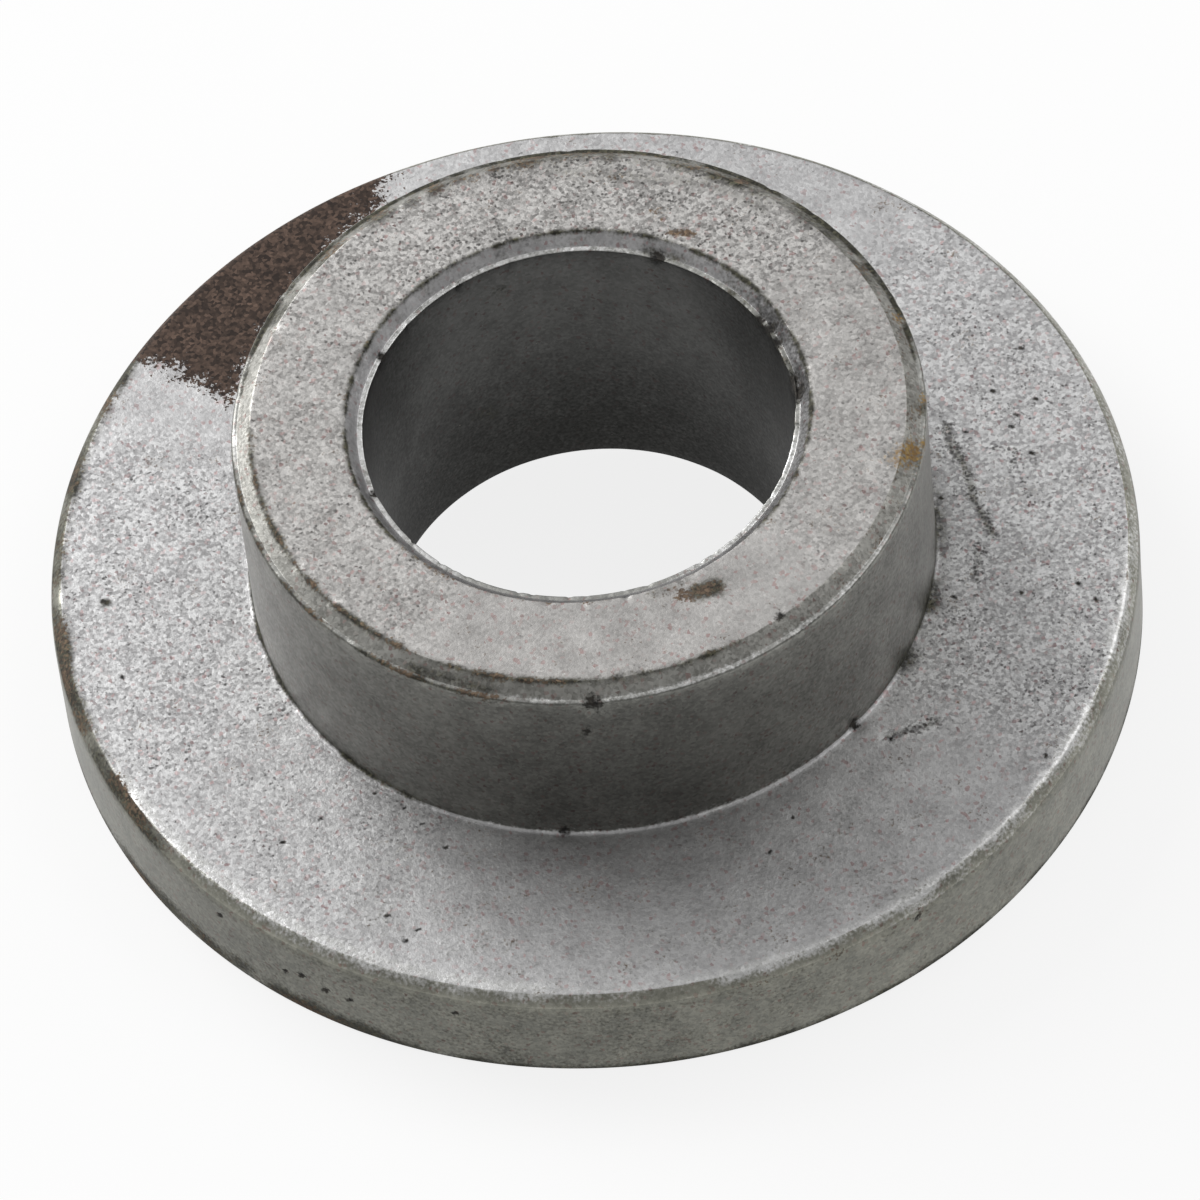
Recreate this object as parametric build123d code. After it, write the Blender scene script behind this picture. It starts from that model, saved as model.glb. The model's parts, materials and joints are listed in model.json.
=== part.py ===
from build123d import *
import os

# Shoulder spacer: a round flange, a short hub that stands on it and one plain bore through both.
# It is pressed from iron powder in a closed die and sintered, so it is a single piece, and each edge
# has the form that the punches give it.
# Millimetres. +Z runs along the bore, from the underside of the flange (z = 0) to the end of the hub.

# Main sizes
flange_diameter = 25.4
flange_thickness = 2.68
hub_diameter = 15.96
hub_height = 5.29
bore_diameter = 9.90

# Upper edges of the hub: each chamfer stops at a narrow flat land, because a punch can't end in a knife edge
bore_chamfer_width = 0.26
bore_chamfer_depth = 0.28
bore_land_width = 0.13
hub_chamfer_width = 0.32
hub_chamfer_depth = 0.27
hub_land_width = 0.13

# Edges of the flange, and the corner where the hub rises from it
rim_chamfer_width = 0.24
rim_chamfer_depth = 0.30
root_radius = 0.10
underside_edge_break = 0.06

# Heights and radii that follow from the main sizes
flange_radius = flange_diameter / 2
hub_radius = hub_diameter / 2
bore_radius = bore_diameter / 2
hub_end = flange_thickness + hub_height


def underside_corners():
    """Flat underside of the flange, with both edges just broken."""
    return [
        (bore_radius, underside_edge_break),
        (bore_radius + underside_edge_break, 0),
        (flange_radius - underside_edge_break, 0),
        (flange_radius, underside_edge_break),
    ]


def rim_corners():
    """Steep chamfer between the flange's outer wall and its upper face."""
    return [
        (flange_radius, flange_thickness - rim_chamfer_depth),
        (flange_radius - rim_chamfer_width, flange_thickness),
    ]


def hub_edge_corners():
    """Hub wall up to its land, and the chamfer from the land to the end face."""
    land_height = hub_end - hub_chamfer_depth
    land_radius = hub_radius - hub_land_width
    return [
        (hub_radius, land_height),
        (land_radius, land_height),
        (land_radius - hub_chamfer_width, hub_end),
    ]


def bore_edge_corners():
    """Chamfer from the end face down to the bore's land, which ends at the bore wall."""
    land_height = hub_end - bore_chamfer_depth
    land_radius = bore_radius + bore_land_width
    return [
        (land_radius + bore_chamfer_width, hub_end),
        (land_radius, land_height),
        (bore_radius, land_height),
    ]


def half_section():
    """Section on one side of the axis, with the root corner rounded."""
    root = (hub_radius, flange_thickness)
    corners = underside_corners() + rim_corners() + [root] + hub_edge_corners() + bore_edge_corners()
    section = make_face(Polyline(*corners, close=True))
    root_vertex = section.vertices().sort_by_distance(root)[0]
    return fillet(root_vertex, root_radius)


def shoulder_spacer():
    """The half section turned once round the bore's axis."""
    return revolve(Plane.XZ * half_section(), Axis.Z)


os.makedirs("parts", exist_ok=True)
export_step(shoulder_spacer(), "parts/shoulder_spacer.step")
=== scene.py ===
import bpy
import json
import math
import numpy as np
from mathutils import Matrix, Vector


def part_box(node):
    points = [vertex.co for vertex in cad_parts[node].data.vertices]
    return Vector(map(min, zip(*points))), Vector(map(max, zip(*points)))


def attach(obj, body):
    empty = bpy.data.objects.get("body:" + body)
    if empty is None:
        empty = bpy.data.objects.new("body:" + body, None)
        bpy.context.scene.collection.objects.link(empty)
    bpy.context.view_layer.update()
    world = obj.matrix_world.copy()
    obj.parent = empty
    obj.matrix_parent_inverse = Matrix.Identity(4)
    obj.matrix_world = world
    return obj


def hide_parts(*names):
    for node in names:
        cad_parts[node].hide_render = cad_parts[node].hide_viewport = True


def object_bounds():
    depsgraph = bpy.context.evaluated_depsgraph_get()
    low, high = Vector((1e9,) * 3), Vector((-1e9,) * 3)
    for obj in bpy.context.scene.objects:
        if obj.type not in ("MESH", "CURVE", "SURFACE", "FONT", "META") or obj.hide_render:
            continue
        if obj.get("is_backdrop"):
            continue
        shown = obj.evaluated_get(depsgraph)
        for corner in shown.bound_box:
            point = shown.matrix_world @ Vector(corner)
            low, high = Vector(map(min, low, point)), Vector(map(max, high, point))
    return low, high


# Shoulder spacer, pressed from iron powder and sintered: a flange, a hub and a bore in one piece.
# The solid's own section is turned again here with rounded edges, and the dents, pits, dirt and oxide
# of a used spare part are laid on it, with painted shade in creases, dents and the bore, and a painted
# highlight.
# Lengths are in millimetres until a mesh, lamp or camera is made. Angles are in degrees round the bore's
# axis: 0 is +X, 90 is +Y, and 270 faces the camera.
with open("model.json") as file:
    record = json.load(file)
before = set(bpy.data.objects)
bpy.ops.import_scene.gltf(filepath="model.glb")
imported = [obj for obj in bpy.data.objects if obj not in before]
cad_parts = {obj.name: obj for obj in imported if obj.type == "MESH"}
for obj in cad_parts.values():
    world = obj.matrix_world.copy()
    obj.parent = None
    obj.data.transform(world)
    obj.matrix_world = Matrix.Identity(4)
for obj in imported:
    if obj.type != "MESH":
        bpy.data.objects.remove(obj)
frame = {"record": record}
cad_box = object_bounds()
MM = 0.001
CAD_NODE = "shoulder_spacer"
PIECE = "shoulder_spacer_pressed"

# Main sizes, read from the frame
mounts = {mount["name"]: mount for mount in frame["record"]["mounts"]}
flange_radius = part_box(CAD_NODE)[1].x / MM
hub_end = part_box(CAD_NODE)[1].z / MM
shoulder_height = mounts["shoulder"]["pos_m"][2] / MM
hub_radius = mounts["hub"]["dims"]["r_mm"]
bore_radius = mounts["bore"]["dims"]["r_mm"]

# Edge forms, as in the solid
bore_chamfer_width = 0.26
bore_chamfer_depth = 0.28
bore_land_width = 0.13
hub_chamfer_width = 0.32
hub_chamfer_depth = 0.27
hub_land_width = 0.13
rim_chamfer_width = 0.24
rim_chamfer_depth = 0.30
root_radius = 0.10
underside_edge_break = 0.06
hub_land_height = hub_end - hub_chamfer_depth
bore_land_height = hub_end - bore_chamfer_depth

# Roundings: crisp where the press left an edge alone, larger where tumbling and use wore it
crisp_rounding = 0.03
rim_cheek_rounding = 0.45
rim_brow_rounding = 0.16
hub_lip_rounding = 0.09
hub_brow_rounding = 0.07
bore_brow_rounding = 0.06
bore_lip_rounding = 0.04

# How finely the section is turned, and the distance between the mesh's rows on each stretch of it
segments = 512
rounding_rows = 4
row_step = {
    "underside": 0.6, "flange_wall": 0.16, "rim_chamfer": 0.08, "shoulder": 0.115, "hub_wall": 0.24,
    "hub_land": 0.05, "hub_chamfer": 0.08, "hub_end": 0.10, "bore_chamfer": 0.08, "bore_land": 0.05,
    "bore_wall": 0.25,
}

# The press's own unevenness: depth, longest and shortest wave, and how far the surface lies into the waves
face_waviness = 0.003
face_waves = (6.0, 1.5)
face_level = 0.5

# Bruises along the worn edges: depth, reach, longest and shortest wave, and how high a wave has to be
# to leave one
edge_bruise = 0.04
bruise_reach = 0.10
bruise_waves = (1.4, 0.3)
bruise_threshold = 0.35
bruised_corners = ("rim_brow", "hub_lip", "hub_brow", "bore_brow", "bore_lip")

# Patches in the dirt along the edges: strength, longest and shortest wave; and the degrees over which wear,
# dirt and the painted shade end
patch_strength = 0.5
patch_waves = (2.5, 0.5)
edge_mark_fade = 10
painted_shade_fade = 30

# Oxide at the flange's far left: how far it keeps from the hub and runs down the outer wall, the least share
# of that run, and how far and with which waves its edge strays there
oxide_hub_gap = 0.6
oxide_run_down = 1.5
oxide_least_run = 0.8
oxide_straying = 0.5
oxide_waves = (3.0, 0.6)

# Floor and light
floor_half = 1000
floor_drop = 0.02
floor_shown_level = 0.83
softbox_distance = 500
softbox_side = 350
room_light = 0.40

# Camera, fitted to the outlines of flange, hub and bore
camera_elevation = 53.68
camera_roll = 6.44
camera_distance = 255.4
camera_aim = (0.035, 0.0, 0.754)
camera_lens = 326.8
camera_sensor = 36.0


# Section of the part, turned round the bore's axis

def section_corners():
    """Corners from the bore's foot round the section: name, radius, height, rounding, next stretch."""
    hub_step = hub_radius - hub_land_width
    bore_step = bore_radius + bore_land_width
    rim_cheek_height = shoulder_height - rim_chamfer_depth
    return [
        ("bore_foot", bore_radius + underside_edge_break, 0, crisp_rounding, "underside"),
        ("rim_foot", flange_radius - underside_edge_break, 0, crisp_rounding, "flange_wall"),
        ("rim_heel", flange_radius, underside_edge_break, crisp_rounding, "flange_wall"),
        ("rim_cheek", flange_radius, rim_cheek_height, rim_cheek_rounding, "rim_chamfer"),
        ("rim_brow", flange_radius - rim_chamfer_width, shoulder_height, rim_brow_rounding, "shoulder"),
        ("root", hub_radius, shoulder_height, root_radius, "hub_wall"),
        ("hub_lip", hub_radius, hub_land_height, hub_lip_rounding, "hub_land"),
        ("hub_step", hub_step, hub_land_height, crisp_rounding, "hub_chamfer"),
        ("hub_brow", hub_step - hub_chamfer_width, hub_end, hub_brow_rounding, "hub_end"),
        ("bore_brow", bore_step + bore_chamfer_width, hub_end, bore_brow_rounding, "bore_chamfer"),
        ("bore_step", bore_step, bore_land_height, crisp_rounding, "bore_land"),
        ("bore_lip", bore_radius, bore_land_height, bore_lip_rounding, "bore_wall"),
        ("bore_heel", bore_radius, underside_edge_break, crisp_rounding, "underside"),
    ]


def section_rows():
    """Points of the rounded section, the stretch that follows each, and the rows that are corners."""
    corners = section_corners()
    count = len(corners)
    points = [np.array(corner[1:3], float) for corner in corners]
    ahead = [points[(i + 1) % count] - points[i] for i in range(count)]
    ahead = [run / np.linalg.norm(run) for run in ahead]
    turns = [math.acos(float(np.clip(ahead[i - 1] @ ahead[i], -1, 1))) for i in range(count)]
    cuts = [corners[i][3] * math.tan(turns[i] / 2) for i in range(count)]
    rows, stretches, corner_rows = [], [], {}
    for i, (name, _, _, _, stretch) in enumerate(corners):
        start = points[i] - cuts[i] * ahead[i - 1]
        end = points[i] + cuts[i] * ahead[i]
        corner_rows[name] = len(rows) + rounding_rows // 2
        for t in np.linspace(0, 1, rounding_rows):
            rows.append((1 - t) ** 2 * start + 2 * t * (1 - t) * points[i] + t ** 2 * end)
            stretches.append(corners[i - 1][4] if t < 0.5 else stretch)
        following = (i + 1) % count
        stop = points[following] - cuts[following] * ahead[i]
        steps = max(1, round(np.linalg.norm(stop - end) / row_step[stretch]))
        for k in range(1, steps):
            rows.append(end + (stop - end) * k / steps)
            stretches.append(stretch)
    return np.array(rows), stretches, corner_rows


rows, row_stretch, corner_rows = section_rows()
row_count = len(rows)
row_run = np.concatenate([[0], np.cumsum(np.linalg.norm(np.diff(rows, axis=0), axis=1))])
row_slope = np.roll(rows, -1, axis=0) - np.roll(rows, 1, axis=0)
row_slope /= np.linalg.norm(row_slope, axis=1)[:, None]
row_outward = np.stack([row_slope[:, 1], -row_slope[:, 0]], axis=1)
angles = np.linspace(0, 2 * math.pi, segments, endpoint=False)


def turned(offset):
    """The section turned round the axis, moved out of the surface by offset, as rows by segments by xyz."""
    radius = rows[:, 0, None] + row_outward[:, 0, None] * offset
    height = rows[:, 1, None] + row_outward[:, 1, None] * offset
    return np.stack([radius * np.cos(angles), radius * np.sin(angles), height], axis=-1)


smooth_surface = turned(np.zeros((row_count, segments)))


# Places on the part

def on(stretch):
    """1 on the rows of a stretch."""
    return np.array([name == stretch for name in row_stretch], float)


def beside(corner, width):
    """1 at a corner of the section, falling away over the width."""
    return np.exp(-((row_run - row_run[corner_rows[corner]]) / width) ** 2)


def around(centre, half, fade):
    """1 within half degrees of the centre, falling away over the next fade degrees."""
    away = np.abs((np.degrees(angles) - centre + 180) % 360 - 180)
    return np.clip((half + fade - away) / fade, 0, 1)


def wander(longest, shortest, seed, waves=30):
    """Smooth random field over the whole surface, about -1 to 1, with waves between two lengths."""
    rng = np.random.default_rng(seed)
    field = np.zeros((row_count, segments))
    for _ in range(waves):
        length = longest * (shortest / longest) ** rng.random()
        heading = rng.uniform(0, 2 * math.pi)
        turns = round(2 * math.pi * hub_radius * math.cos(heading) / length)
        across = 2 * math.pi * math.sin(heading) / length
        field += np.cos(turns * angles + across * row_run[:, None] + rng.uniform(0, 2 * math.pi))
    return field / math.sqrt(2 * waves)


def spot(face, angle, position):
    """Point on a face: position is a radius on the flat faces and a height on the walls."""
    heights = {
        "shoulder": shoulder_height, "hub_end": hub_end,
        "hub_land": hub_land_height, "bore_land": bore_land_height,
    }
    radii = {"hub_wall": hub_radius, "flange_wall": flange_radius, "bore_wall": bore_radius}
    radius = radii.get(face, position)
    turn = math.radians(angle)
    return np.array([radius * math.cos(turn), radius * math.sin(turn), heights.get(face, position)])


def arc(first, last, position, step=7):
    """Line of places round the axis, from one angle to another."""
    return [(angle, position) for angle in range(first, last + 1, step)]


def near_line(points, width):
    """1 on a line through points of the surface, or on a single point, falling away over the width."""
    nearest = np.full((row_count, segments), np.inf)
    for start, end in zip(points, points[1:] if len(points) > 1 else points):
        run = end - start
        # A single point has no length to divide by
        along = np.clip(((smooth_surface - start) @ run) / max(run @ run, 1e-9), 0, 1)
        away = np.linalg.norm(smooth_surface - start - along[..., None] * run, axis=-1)
        nearest = np.minimum(nearest, away)
    return np.exp(-(nearest / width) ** 2)


def dent_mark(face, angle, position, radius):
    """1 in a dent, falling away over its radius; its centre is a mesh point, so that small ones show."""
    away = np.linalg.norm(smooth_surface - spot(face, angle, position), axis=-1)
    return near_line([smooth_surface.reshape(-1, 3)[away.argmin()]], radius)


# Wear of this spare part, laid out as the photograph shows it

# Dents and chips, whose floors are darkened as painted shade: face, radius, depth, places as angle and
# position
dents = [
    ("shoulder", 0.10, 0.01, [
        (179.5, 11.40), (190.5, 11.30), (223.0, 10.65), (224.5, 9.65), (227.5, 8.35), (233.5, 8.30),
        (239.5, 11.05), (242.5, 8.95), (243.0, 11.55), (244.0, 11.20), (290.0, 9.60), (295.0, 9.05),
        (315.0, 8.85), (323.5, 12.15), (343.0, 8.50), (345.0, 10.10), (345.5, 11.75), (347.5, 11.35),
        (3.0, 8.25), (7.5, 10.50), (12.5, 10.25), (14.0, 10.50), (14.0, 9.20), (15.5, 11.15),
        (19.0, 10.30), (23.5, 11.40)]),
    ("flange_wall", 0.14, 0.04, [(222.0, 1.95), (232.5, 1.45), (235.5, 1.25)]),
    ("flange_wall", 0.10, 0.03, [(230.5, 1.20), (238.5, 1.15), (250.5, 1.85), (300.5, 2.15)]),
    ("hub_wall", 0.18, 0.06, [(260.5, 2.80), (313.5, 2.75)]),
    ("hub_wall", 0.30, 0.08, [(267.0, 7.65)]),
    ("hub_wall", 0.14, 0.02, [(265.5, 6.60)]),
    ("bore_land", 0.38, 0.08, [(2.0, 5.00)]),
    ("bore_wall", 0.30, 0.05, [(7.0, 7.40)]),
    ("bore_land", 0.22, 0.05, [(6.0, 5.00), (24.0, 5.05), (63.0, 5.00)]),
    ("bore_land", 0.17, 0.04, [(19.0, 5.00), (28.0, 5.00), (150.0, 5.00), (196.0, 5.00)]),
    ("hub_end", 0.16, 0.05, [(302.0, 7.50)]),
]

# Wear, dirt and painted shade along edges and stretches, by kind: corner and width, or stretch and None, then
# centre, half angle and amount
edge_wear_and_shade = {
    # Painted shade: a dark sheet that darkens the lower bore all round and chosen places on the bore,
    # chamfers, lands, walls and shoulder
    "film": [
        ("bore_heel", 5.2, 270, 180, 0.80), ("bore_wall", None, 178, 34, 0.58),
        ("bore_wall", None, 356, 40, 0.60), ("bore_chamfer", None, 350, 40, 0.62),
        ("hub_chamfer", None, 185, 30, 0.22), ("hub_chamfer", None, 255, 18, 0.20),
        ("hub_land", None, 190, 40, 0.30), ("hub_wall", None, 197, 12, 0.35),
        ("hub_wall", None, 267, 10, 0.42), ("flange_wall", None, 245, 25, 0.30),
        ("shoulder", None, 270, 32, 0.12), ("shoulder", None, 55, 35, 0.15)],
    "rub": [
        ("rim_brow", 0.28, 232, 34, 0.55), ("rim_brow", 0.22, 312, 34, 0.80),
        ("rim_chamfer", None, 30, 90, 0.40), ("root", 0.06, 276, 26, 0.68),
        ("hub_land", None, 290, 34, 0.46), ("hub_land", None, 215, 40, 0.50),
        # In front, the rub at the hub's step is a painted highlight on the foot of the hub's chamfer
        ("hub_step", 0.07, 288, 40, 0.45), ("bore_land", None, 150, 80, 0.76),
        ("bore_land", None, 330, 34, 0.58), ("underside", None, 250, 60, 0.42)],
    "scuff": [
        ("shoulder", None, 182, 22, 0.95), ("shoulder", None, 215, 20, 0.55),
        ("shoulder", None, 4, 36, 1.00), ("shoulder", None, 90, 50, 0.15),
        ("hub_end", None, 85, 50, 1.10), ("hub_end", None, 180, 50, 0.65),
        ("hub_end", None, 0, 40, 0.45), ("underside", None, 270, 180, 0.45)],
    "rust": [
        ("rim_chamfer", None, 182, 30, 0.46), ("rim_brow", 0.16, 176, 28, 0.40),
        ("rim_cheek", 0.24, 312, 30, 0.28), ("rim_heel", 0.50, 222, 14, 0.56),
        ("hub_brow", 0.13, 222, 40, 0.52), ("hub_brow", 0.34, 90, 26, 0.50),
        ("hub_lip", 0.12, 218, 34, 0.46), ("hub_land", None, 222, 30, 0.44),
        ("hub_chamfer", None, 92, 40, 0.46), ("hub_chamfer", None, 352, 36, 0.40),
        ("bore_brow", 0.11, 245, 26, 0.50),
        ("shoulder", None, 270, 180, 0.16), ("hub_end", None, 270, 180, 0.18)],
    "soot": [
        ("rim_chamfer", None, 165, 45, 0.80), ("rim_brow", 0.20, 168, 30, 0.66),
        ("rim_cheek", 0.42, 238, 34, 0.18), ("rim_cheek", 0.34, 312, 40, 0.20),
        ("rim_heel", 0.52, 223, 14, 1.05), ("rim_heel", 0.18, 270, 80, 0.85),
        # The soot at the bore's foot darkens the bore towards its foot as painted shade
        ("rim_foot", 0.35, 100, 120, 0.60), ("bore_foot", 0.45, 40, 140, 0.70),
        ("hub_brow", 0.12, 235, 55, 0.80), ("hub_brow", 0.26, 82, 40, 0.66),
        # At about 85 degrees the step, land and chamfer at the hub's far edge are darkened as painted shade
        ("hub_lip", 0.09, 215, 32, 0.80), ("hub_step", 0.07, 85, 80, 0.90),
        ("hub_land", None, 222, 30, 0.52), ("hub_land", None, 85, 72, 1.00),
        ("hub_land", None, 0, 26, 0.45), ("hub_chamfer", None, 85, 62, 0.60),
        ("hub_chamfer", None, 0, 28, 0.36), ("bore_brow", 0.09, 90, 135, 0.80),
        ("bore_chamfer", None, 80, 60, 0.30), ("bore_land", None, 15, 24, 0.55),
        # The roots at 190 and 347 degrees and the shoulder in front of the hub are darkened as painted shade
        ("bore_lip", 0.10, 15, 20, 0.65), ("root", 0.10, 190, 45, 0.85),
        ("root", 0.40, 347, 18, 0.60), ("shoulder", None, 272, 36, 0.25),
        ("flange_wall", None, 272, 42, 0.25)],
}

# Marks on the shoulder that are both scuffed and dirty, and a black pit, as lines of angle and position
long_scratch = [(16.5, 8.90), (12.5, 8.80), (7.0, 8.95), (1.5, 8.95), (355.0, 9.30)]
short_scratch = [(352.0, 8.95), (347.0, 8.95)]
slanting_scratch = [(315.0, 8.80), (321.5, 9.50)]
ring_mark = [(10.0, 9.70), (9.0, 10.15), (7.5, 10.15), (6.0, 9.95)]
black_pit = [(179.5, 11.40)]

# Stains, scuffs and painted shade, by kind: face, line of angle and position, width, amount
stains_and_shade = {
    "rub": [
        ("shoulder", arc(204, 260, 12.30), 0.20, 0.85),
        ("shoulder", arc(262, 297, 12.36), 0.12, 0.70)],
    "scuff": [
        ("shoulder", long_scratch, 0.18, 3.40),
        ("shoulder", short_scratch, 0.22, 2.60),
        ("shoulder", slanting_scratch, 0.16, 2.80),
        ("shoulder", ring_mark, 0.13, 3.20),
        ("shoulder", [(10.0, 8.80), (352.0, 8.80), (338.0, 8.80)], 0.90, 1.15)],
    "ochre": [
        ("hub_land", [(342.0, 7.40), (345.0, 7.65)], 0.36, 1.00),
        ("hub_land", [(347.5, 8.00)], 0.18, 0.85),
        ("hub_land", [(356.5, 7.95)], 0.20, 0.75),
        ("hub_land", [(14.0, 7.75)], 0.20, 0.85)],
    "rust": [
        ("hub_end", [(289.5, 5.80), (296.0, 5.95)], 0.30, 0.76),
        ("hub_end", [(298.0, 6.10)], 0.16, 0.75),
        ("hub_end", [(318.0, 5.52)], 0.16, 0.65),
        ("hub_end", [(62.0, 5.60), (57.0, 5.75)], 0.12, 0.95),
        ("hub_end", [(95.0, 7.10), (82.0, 6.98), (72.0, 7.10)], 0.34, 0.35),
        ("shoulder", black_pit, 0.12, 0.70)],
    "soot": [
        ("hub_end", [(292.5, 5.85), (296.5, 5.95)], 0.28, 1.20),
        ("hub_end", [(292.0, 5.45), (283.0, 5.45)], 0.24, 0.50),
        ("hub_end", [(268.0, 7.55), (276.0, 7.55)], 0.24, 0.55),
        ("hub_end", [(90.0, 7.20), (60.0, 7.25), (48.0, 7.20)], 0.30, 0.45),
        ("hub_land", [(236.0, 7.80), (243.0, 7.70), (250.0, 7.80)], 0.26, 0.75),
        ("hub_wall", [(265.5, 6.60)], 0.20, 0.60),
        # Painted shadow along the foot of the hub's right side
        ("hub_wall", [(332.0, 4.20)], 0.45, 0.40),
        ("bore_land", [(67.0, 5.10), (57.0, 5.20)], 0.20, 0.75),
        ("bore_wall", [(118.0, 2.60), (113.0, 2.40)], 0.30, 0.45),
        ("bore_wall", [(107.0, 6.80)], 0.25, 0.55),
        ("flange_wall", [(212.0, 0.30), (235.0, 0.25)], 0.30, 0.60),
        ("shoulder", long_scratch, 0.14, 0.65),
        ("shoulder", short_scratch, 0.18, 0.42),
        ("shoulder", slanting_scratch, 0.12, 0.62),
        ("shoulder", ring_mark, 0.10, 0.38),
        ("shoulder", black_pit, 0.13, 1.40)],
}

# Two edges of the oxide on the shoulder, each from one place to another with the oxide on its left
oxide_edges = [
    ((144.5, 12.40), (144.5, 10.30)),
    ((115.0, 11.40), (107.0, 12.45)),
]


def dent_marks():
    """Depth of each dent in turn, and its mark on the surface."""
    for face, radius, depth, places in dents:
        for angle, position in places:
            yield depth, dent_mark(face, angle, position, radius)


def worn_offset():
    """How far each point lies off the smooth surface, negative because wear only takes away."""
    depth = face_waviness * np.clip(wander(*face_waves, seed=3) + face_level, 0, 1 + face_level)
    bruises = np.clip(wander(*bruise_waves, seed=5) - bruise_threshold, 0, 1)
    for corner in bruised_corners:
        depth += edge_bruise * bruises * beside(corner, bruise_reach)[:, None]
    for dent_depth, mark in dent_marks():
        depth += dent_depth * mark
    return -depth


def wear_and_shade_masks():
    """Amount of each kind of wear, dirt and painted shade at each point; all but the plain painted shade and
    scuffs are patchy along edges.
    """
    kinds = ("film", "rub", "scuff", "ochre", "rust", "soot", "chip")
    masks = {kind: np.zeros((row_count, segments)) for kind in kinds}
    patchy = 1 + patch_strength * wander(*patch_waves, seed=11)
    for kind, table in edge_wear_and_shade.items():
        fade = painted_shade_fade if kind == "film" else edge_mark_fade
        spread = 1 if kind in ("film", "scuff") else patchy
        for place, width, centre, half, amount in table:
            section = on(place) if width is None else beside(place, width)
            mark = amount * section[:, None] * around(centre, half, fade)
            masks[kind] = np.maximum(masks[kind], mark * spread)
    for kind, table in stains_and_shade.items():
        for face, line, width, amount in table:
            mark = near_line([spot(face, *place) for place in line], width)
            masks[kind] = np.maximum(masks[kind], amount * mark)
    for _, mark in dent_marks():
        masks["chip"] = np.maximum(masks["chip"], mark)
    masks["oxide"] = oxide_depth()
    return masks


def oxide_depth():
    """How far a point is inside the patch of oxide, in mm, negative outside; it runs down the wall."""
    x, y, height = smooth_surface[..., 0], smooth_surface[..., 1], smooth_surface[..., 2]
    below = np.clip(shoulder_height - height, 0, oxide_run_down)
    straying = oxide_straying * wander(*oxide_waves, seed=17) * below / oxide_run_down
    inside = np.hypot(x, y) - hub_radius - oxide_hub_gap
    for first, last in oxide_edges:
        start = spot("shoulder", *first)
        end = spot("shoulder", *last)
        run = (end - start) / np.linalg.norm(end - start)
        inside = np.minimum(inside, run[0] * (y - start[1]) - run[1] * (x - start[0]))
    above_end = height - shoulder_height + oxide_run_down * (oxide_least_run + straying)
    return np.minimum(inside + straying, above_end)


def spacer_mesh():
    """Closed mesh of the worn part, with the wear stored at its points."""
    index = np.arange(row_count * segments).reshape(row_count, segments)
    below = np.roll(index, -1, axis=0)
    faces = np.stack([index, np.roll(index, -1, axis=1), np.roll(below, -1, axis=1), below], axis=-1)
    points = turned(worn_offset()).reshape(-1, 3) * MM
    mesh = bpy.data.meshes.new(PIECE)
    mesh.from_pydata(points.tolist(), [], faces.reshape(-1, 4).tolist())
    mesh.polygons.foreach_set("use_smooth", np.ones(len(mesh.polygons), bool))
    for kind, mask in wear_and_shade_masks().items():
        stored = mesh.attributes.new(kind, "FLOAT", "POINT")
        stored.data.foreach_set("value", mask.ravel().astype(np.float32))
    return mesh


# Materials

# Sizes of the patterns in the iron: grains as large as the powder's, the noise between them, and clouds
CELL_MM = 0.08
GRAIN_MM = 0.08
MOTTLE_MM = 0.9

# Middle of the noise's range, and the share of cloud in the patches of rust and oxide
noise_middle = 0.5
cloud_share = 0.5

# Pits in the place of some grains: how far noise bends their outline, where floor and rim lie in a grain's
# cell, what clouds and scuffs add to a grain's lot, and the lots from which a pit shows and is deepest
pit_bend = 1.2
pit_floor = 0.30
pit_rim = 0.70
cloud_pits = 1.2
scuff_pits = 0.30
pit_starts = 1.62
pit_full = 1.90
pit_colour = "#3c3a38"

# Tones of the grains: how much they differ, what scuffs add to that, the range from dark to light, and the
# tints of the plain ones and of the few faintly reddish ones, whose lot is above the last number
grain_tones = 0.5
scuff_contrast = 1.4
darkest_tone = -0.10
lightest_tone = 1.10
plain_tint = "#fefefc"
reddish_tint = "#ecd4d2"
reddish_lot = 0.90

# What lies on the iron, from the bottom up: painted shade as a dark metallic sheet, bright rubbed metal that
# in one place is also a painted highlight, dirt with painted shade, specks of rust, ochre stains, the brown
# oxide, and chips whose dark dent floors are painted shade. Kind, light and dark colour, metallic, roughness,
# raggedness, and the amounts at which it starts to show and is full
layers = [
    # Painted shade: a dark metallic sheet
    ("film", "#333331", "#222220", 1.0, 0.60, 0.6, 0.00, 1.00),
    # Bright rubbed metal, and in one place a painted highlight
    ("rub", "#ffffff", "#d4d4d2", 1.0, 0.42, 1.2, 0.25, 0.95),
    # Dirt, and in some places painted shade
    ("soot", "#646250", "#26251d", 0.3, 0.70, 0.8, 0.15, 1.00),
    ("rust", "#88735d", "#544539", 0.0, 0.85, 2.5, 0.42, 0.85),
    ("ochre", "#b89a5e", "#8a6c42", 0.0, 0.80, 1.2, 0.30, 0.90),
    ("oxide", "#755f52", "#281c15", 0.0, 0.85, 3.0, -0.10, 0.10),
    # Chips and dark dent floors: dirt, with painted shade in the dents
    ("chip", "#4a4640", "#1b1917", 0.0, 0.90, 0.9, 0.32, 0.85),
]


def linear(hex_colour):
    """sRGB hex colour as the linear RGBA that shader sockets take."""
    parts = [int(hex_colour[i:i + 2], 16) / 255 for i in (1, 3, 5)]
    return tuple(c / 12.92 if c <= 0.04045 else ((c + 0.055) / 1.055) ** 2.4 for c in parts) + (1.0,)


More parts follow.
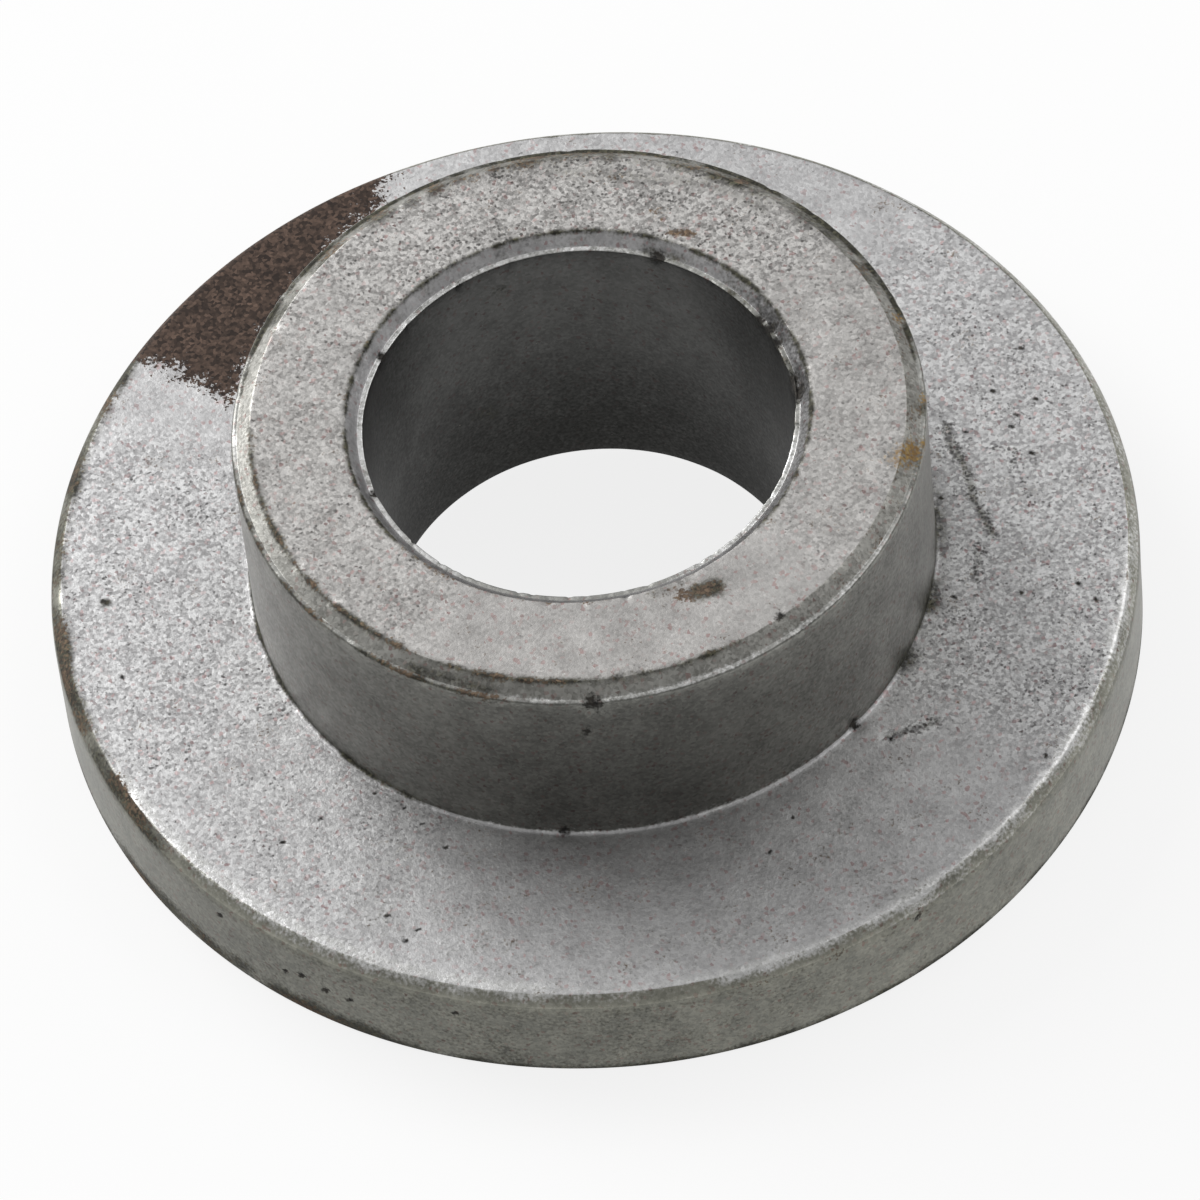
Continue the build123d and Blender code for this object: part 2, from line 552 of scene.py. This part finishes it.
def node(tree, kind, inputs=None, **settings):
    """Adds a shader node; each input, by name or number, is a value or the output socket that feeds it."""
    made = tree.nodes.new("ShaderNode" + kind)
    for name, value in settings.items():
        setattr(made, name, value)
    for socket, value in (inputs or {}).items():
        if isinstance(value, bpy.types.NodeSocket):
            tree.links.new(value, made.inputs[socket])
        else:
            made.inputs[socket].default_value = value
    return made


def empty_material(name):
    """New material with no nodes in it, and its node tree."""
    material = bpy.data.materials.new(name)
    material.use_nodes = True
    material.node_tree.nodes.clear()
    return material, material.node_tree


def iron_patterns(tree):
    """Patterns in the iron: grains with three random lots each, fine noise, three clouds, and scuffs."""
    place = node(tree, "TexCoord").outputs["Object"]
    in_mm = node(tree, "VectorMath", {0: place, "Scale": 1 / MM}, operation="SCALE").outputs[0]
    cells = node(tree, "TexVoronoi", {"Vector": in_mm, "Scale": 1 / CELL_MM}).outputs
    grain = node(tree, "TexNoise", {
        "Vector": in_mm, "Scale": 1 / GRAIN_MM, "Detail": 1.0, "Roughness": 0.6}).outputs["Fac"]
    clouds = node(tree, "TexNoise", {
        "Vector": in_mm, "Scale": 1 / MOTTLE_MM, "Detail": 2.0, "Roughness": 0.6}).outputs["Color"]
    return {
        "distance": cells["Distance"],
        "lot": node(tree, "SeparateColor", {0: cells["Color"]}).outputs,
        "grain": grain,
        "spread": node(tree, "Math", {0: grain, 1: noise_middle}, operation="SUBTRACT").outputs[0],
        "cloud": node(tree, "SeparateColor", {0: clouds}).outputs,
        "scuff": node(tree, "Attribute", attribute_name="scuff").outputs["Fac"],
    }


def pit_cover(tree, pattern, pits):
    """Pits in the place of some grains, in clusters and where the face was scuffed."""
    outline = node(tree, "Math", {
        0: pattern["spread"], 1: pit_bend, 2: pattern["distance"]}, operation="MULTIPLY_ADD").outputs[0]
    hollow = node(tree, "MapRange", {
        "Value": outline, "From Min": pit_floor, "From Max": pit_rim,
        "To Min": 1.0, "To Max": 0.0}).outputs[0]
    chance = node(tree, "Math", {
        0: pattern["scuff"], 1: scuff_pits, 2: pattern["lot"][2]}, operation="MULTIPLY_ADD").outputs[0]
    chance = node(tree, "Math", {
        0: pattern["cloud"][1], 1: cloud_pits, 2: chance}, operation="MULTIPLY_ADD").outputs[0]
    depth = node(tree, "MapRange", {
        "Value": chance, "From Min": pit_starts, "From Max": pit_full,
        "To Min": 0.0, "To Max": pits}).outputs[0]
    return node(tree, "Math", {0: hollow, 1: depth}, operation="MULTIPLY").outputs[0]


def grain_tone(tree, pattern, contrast):
    """Tone of the grains from dark to light, coarser where the face was scuffed."""
    coarse = node(tree, "Math", {
        0: pattern["scuff"], 1: scuff_contrast, 2: contrast}, operation="MULTIPLY_ADD").outputs[0]
    tone = node(tree, "Math", {
        0: pattern["lot"][0], 1: grain_tones, 2: pattern["spread"]}, operation="MULTIPLY_ADD").outputs[0]
    tone = node(tree, "Math", {0: tone, 1: grain_tones / 2}, operation="SUBTRACT").outputs[0]
    tone = node(tree, "Math", {
        0: tone, 1: coarse, 2: pattern["cloud"][0]}, operation="MULTIPLY_ADD").outputs[0]
    return node(tree, "MapRange", {
        "Value": tone, "From Min": darkest_tone, "From Max": lightest_tone}).outputs[0]


def iron_colour(tree, pattern, tone, pit, light, dark):
    """Colour of the bare iron: toned grains, a few of them faintly reddish, and dark pits."""
    colour = node(tree, "Mix", {0: tone, 6: linear(dark), 7: linear(light)}, data_type="RGBA").outputs[2]
    reddish = node(tree, "MapRange", {
        "Value": pattern["lot"][1], "From Min": reddish_lot, "From Max": 1.0}).outputs[0]
    tint = node(tree, "Mix", {
        0: reddish, 6: linear(plain_tint), 7: linear(reddish_tint)}, data_type="RGBA").outputs[2]
    colour = node(tree, "Mix", {
        0: 1.0, 6: colour, 7: tint}, data_type="RGBA", blend_type="MULTIPLY").outputs[2]
    return node(tree, "Mix", {0: pit, 6: colour, 7: linear(pit_colour)}, data_type="RGBA").outputs[2]


def layered(tree, pattern, tone, colour, roughness):
    """Colour, metallic and roughness of the iron with wear, dirt, oxide, painted shade and a painted
    highlight laid over it.
    """
    metallic = 1.0
    patch = node(tree, "Math", {0: pattern["grain"], 1: 1 - cloud_share}, operation="MULTIPLY").outputs[0]
    patch = node(tree, "Math", {
        0: pattern["cloud"][2], 1: cloud_share, 2: patch}, operation="MULTIPLY_ADD").outputs[0]
    shade = node(tree, "Math", {0: pattern["lot"][0], 1: tone}, operation="MULTIPLY").outputs[0]
    for kind, light, dark, layer_metallic, layer_roughness, ragged, starts, full in layers:
        amount = node(tree, "Attribute", attribute_name=kind).outputs["Fac"]
        breakup = patch if kind in ("rust", "oxide") else pattern["grain"]
        edge = node(tree, "Math", {
            0: breakup, 1: ragged, 2: -ragged * noise_middle}, operation="MULTIPLY_ADD").outputs[0]
        edge = node(tree, "Math", {0: edge, 1: amount}).outputs[0]
        mask = node(tree, "MapRange", {
            "Value": edge, "From Min": starts, "From Max": full}, interpolation_type="SMOOTHSTEP").outputs[0]
        cover_colour = node(tree, "Mix", {0: shade, 6: linear(dark), 7: linear(light)}, data_type="RGBA").outputs[2]
        colour = node(tree, "Mix", {0: mask, 6: colour, 7: cover_colour}, data_type="RGBA").outputs[2]
        metallic = node(tree, "Mix", {0: mask, 2: metallic, 3: layer_metallic}).outputs[0]
        roughness = node(tree, "Mix", {0: mask, 2: roughness, 3: layer_roughness}).outputs[0]
    return colour, metallic, roughness


def pressed_iron(name, light, dark, roughness, relief, pits, contrast):
    """Pressed and sintered iron powder: light grains, dark pits among them, and what lies on it."""
    material, tree = empty_material(name)
    pattern = iron_patterns(tree)
    tone = grain_tone(tree, pattern, contrast)
    pit = pit_cover(tree, pattern, pits)
    bare = iron_colour(tree, pattern, tone, pit, light, dark)
    colour, metallic, rough = layered(tree, pattern, tone, bare, roughness)
    bump = node(tree, "Bump", {
        "Height": pattern["grain"], "Strength": 1.0, "Distance": relief * MM}).outputs[0]
    shader = node(tree, "BsdfPrincipled", {
        "Base Color": colour, "Metallic": metallic, "Roughness": rough, "Normal": bump}).outputs[0]
    node(tree, "OutputMaterial", {"Surface": shader})
    return material


# Faces under the punches: pressed straight, so the grains stand open, pale and matte
punch_face = pressed_iron(
    "sintered_iron_punch_face", light="#eeeef0", dark="#aaa9ab",
    roughness=0.5, relief=0.007, pits=0.75, contrast=0.75)

# End of the hub: the same pressing, a little darker and warmer from handling
hub_face = pressed_iron(
    "sintered_iron_hub_face", light="#dcdad9", dark="#949291",
    roughness=0.5, relief=0.006, pits=0.75, contrast=0.6)

# Wall of the hub: it slid along the die as the part was pushed out, so its grains are smeared smooth and dark
hub_wall = pressed_iron(
    "sintered_iron_die_wall", light="#a6a6a1", dark="#646461",
    roughness=0.38, relief=0.003, pits=0.35, contrast=0.9)

# Wall of the flange: it slid along the die for a shorter way, so it is rougher, with an olive cast
flange_wall = pressed_iron(
    "sintered_iron_flange_wall", light="#98978e", dark="#646560",
    roughness=0.40, relief=0.005, pits=0.40, contrast=0.9)

# Chamfer of the rim: shaped by the punch's edge, lighter than the wall below it and greyer than the face
rim_chamfer = pressed_iron(
    "sintered_iron_rim_chamfer", light="#b0afa5", dark="#77776f",
    roughness=0.42, relief=0.005, pits=0.40, contrast=0.7)

# Wall of the bore: it slid along the core rod, so it is close and even; its dark colour is painted shade for
# the inside of the bore
bore_wall = pressed_iron(
    "sintered_iron_core_rod_wall", light="#797978", dark="#494948",
    roughness=0.50, relief=0.003, pits=0.20, contrast=0.7)

# Chamfer of the bore: shaped by the punch's nose, pale and close
bore_chamfer = pressed_iron(
    "sintered_iron_bore_chamfer", light="#dfdee0", dark="#a4a3a5",
    roughness=0.42, relief=0.005, pits=0.40, contrast=0.8)

# Chamfer of the hub: shaped the same way and knocked in use, so its grains differ more
hub_chamfer = pressed_iron(
    "sintered_iron_hub_chamfer", light="#c0bfbb", dark="#868581",
    roughness=0.45, relief=0.006, pits=0.70, contrast=1.5)

# Lands beside the chamfers: narrow flats that stand out and catch the light
land = pressed_iron(
    "sintered_iron_land", light="#c6c6c3", dark="#8c8c8a",
    roughness=0.42, relief=0.006, pits=0.50, contrast=1.0)

stretch_material = {
    "underside": punch_face, "shoulder": punch_face, "hub_end": hub_face,
    "hub_wall": hub_wall, "flange_wall": flange_wall, "bore_wall": bore_wall,
    "rim_chamfer": rim_chamfer, "hub_chamfer": hub_chamfer, "bore_chamfer": bore_chamfer,
    "hub_land": land, "bore_land": land,
}


# The part in the scene

mesh = spacer_mesh()
slots = list(dict.fromkeys(stretch_material.values()))
for material in slots:
    mesh.materials.append(material)
row_slot = [slots.index(stretch_material[stretch]) for stretch in row_stretch]
mesh.polygons.foreach_set("material_index", np.repeat(row_slot, segments))
spacer = bpy.data.objects.new(PIECE, mesh)
bpy.context.scene.collection.objects.link(spacer)
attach(spacer, "root")
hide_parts(CAD_NODE)


# Floor, light and camera

def paper_material():
    """Matte white paper: it shows white to the camera and in metal, and still takes the part's shadow."""
    material, tree = empty_material("white_paper_floor")
    ray = node(tree, "LightPath").outputs
    seen = node(tree, "Math", {
        0: ray["Is Camera Ray"], 1: ray["Is Glossy Ray"]}, operation="MAXIMUM").outputs[0]
    seen = node(tree, "Math", {0: seen, 1: ray["Is Transmission Ray"]}, operation="MAXIMUM").outputs[0]
    level = node(tree, "Math", {0: seen, 1: floor_shown_level}, operation="MULTIPLY").outputs[0]
    paper = node(tree, "BsdfDiffuse", {"Color": linear("#747474")}).outputs[0]
    glow = node(tree, "Emission", {"Color": linear("#ffffff"), "Strength": level}).outputs[0]
    both = node(tree, "AddShader", {0: paper, 1: glow}).outputs[0]
    node(tree, "OutputMaterial", {"Surface": both})
    return material


def pale_floor():
    """Plain floor, a hair below the part so that the two faces don't share a plane."""
    corners = [(-1, -1), (1, -1), (1, 1), (-1, 1)]
    points = [(x * floor_half * MM, y * floor_half * MM, -floor_drop * MM) for x, y in corners]
    mesh = bpy.data.meshes.new("floor")
    mesh.from_pydata(points, [], [(0, 1, 2, 3)])
    mesh.materials.append(paper_material())
    floor = bpy.data.objects.new("floor", mesh)
    bpy.context.scene.collection.objects.link(floor)
    floor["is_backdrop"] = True


def softbox(name, azimuth, elevation, radiance):
    """Square diffuser lamp that faces the part from a direction, as bright as its radiance says."""
    heading = math.radians(azimuth)
    up = math.radians(elevation)
    toward = Vector((math.cos(up) * math.cos(heading), math.cos(up) * math.sin(heading), math.sin(up)))
    lamp = bpy.data.lights.new(name, "AREA")
    lamp.shape = "SQUARE"
    lamp.size = softbox_side * MM
    lamp.energy = radiance * math.pi * (softbox_side * MM) ** 2
    holder = bpy.data.objects.new(name, lamp)
    holder.location = toward * softbox_distance * MM
    holder.rotation_euler = toward.to_track_quat("Z", "Y").to_euler()
    bpy.context.scene.collection.objects.link(holder)


def studio_world():
    """Even soft light from all round."""
    world = bpy.data.worlds.new("studio")
    world.use_nodes = True
    background = world.node_tree.nodes["Background"]
    background.inputs["Color"].default_value = linear("#ffffff")
    background.inputs["Strength"].default_value = room_light
    bpy.context.scene.world = world


def photograph_camera():
    """Camera at the photograph's viewing angle."""
    up = math.radians(camera_elevation)
    eye = Vector((0, -math.cos(up), math.sin(up))) * camera_distance * MM
    back = (eye - Vector(camera_aim) * MM).normalized()
    level = Vector((0, 0, 1)).cross(back).normalized()
    rise = back.cross(level)
    roll = math.radians(camera_roll)
    right = level * math.cos(roll) - rise * math.sin(roll)
    top = rise * math.cos(roll) + level * math.sin(roll)
    data = bpy.data.cameras.new("camera")
    data.sensor_width = camera_sensor
    data.lens = camera_lens
    camera = bpy.data.objects.new("camera", data)
    turn = Matrix((right, top, back)).transposed().to_4x4()
    camera.matrix_world = Matrix.Translation(eye) @ turn
    bpy.context.scene.collection.objects.link(camera)
    bpy.context.scene.camera = camera


pale_floor()
studio_world()
softbox("key", azimuth=135, elevation=30, radiance=5.4)
softbox("side", azimuth=30, elevation=45, radiance=1.2)
photograph_camera()
bpy.context.scene.view_settings.view_transform = "Standard"

boxes = {"cad": cad_box, "visual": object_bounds()}
{name: [list(corner) for corner in box] for name, box in boxes.items()}
